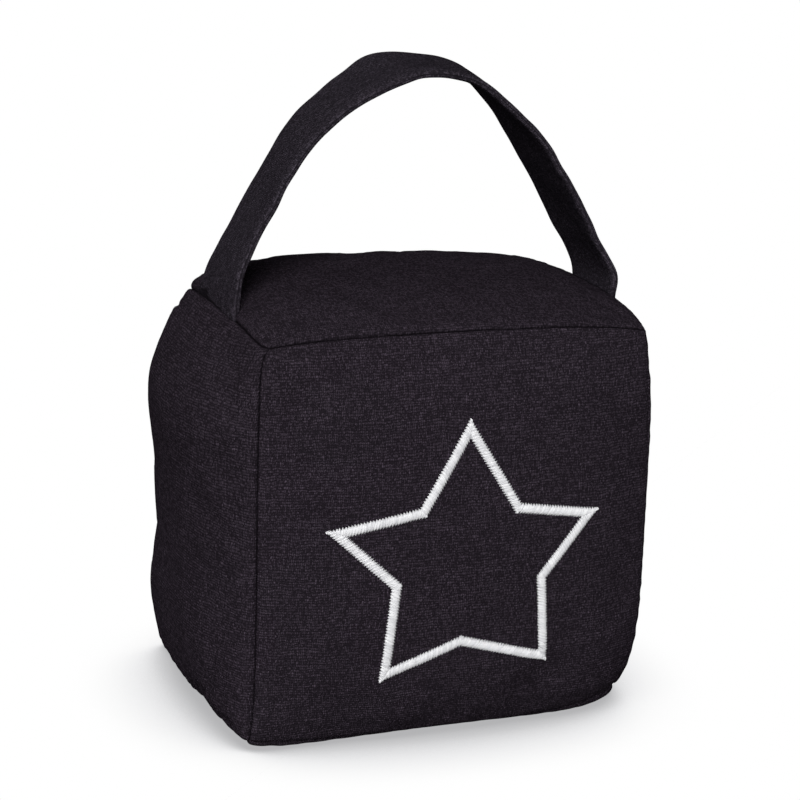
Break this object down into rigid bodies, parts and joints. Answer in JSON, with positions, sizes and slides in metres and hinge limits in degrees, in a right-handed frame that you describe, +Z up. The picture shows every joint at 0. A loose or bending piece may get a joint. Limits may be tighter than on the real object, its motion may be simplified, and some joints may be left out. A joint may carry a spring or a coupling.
{
  "type": "weighted fabric door stop",
  "caption": "Weighted block-shaped door stop of dark canvas with a cloth carrying handle and a satin-stitch star outline on its front.",
  "frame": {"origin": "middle of the flat face that the door stop rests on", "axes": "+Z up through the handle, -Y out of the front panel with the star, +X to the right when looking at the star"},
  "size_m": [0.1783, 0.143, 0.2417],
  "materials": {
    "body_canvas": "matt plain-weave cotton canvas, near black with a faint plum cast",
    "handle_canvas": "the same canvas folded into a flat tube, matt",
    "star_thread": "white rayon satin-stitch thread with a soft sheen"
  },
  "bodies": {
    "root": {"stuffed_body": "body_canvas", "handle_strap": "handle_canvas", "star_embroidery": "star_thread"}
  },
  "joints": []
}
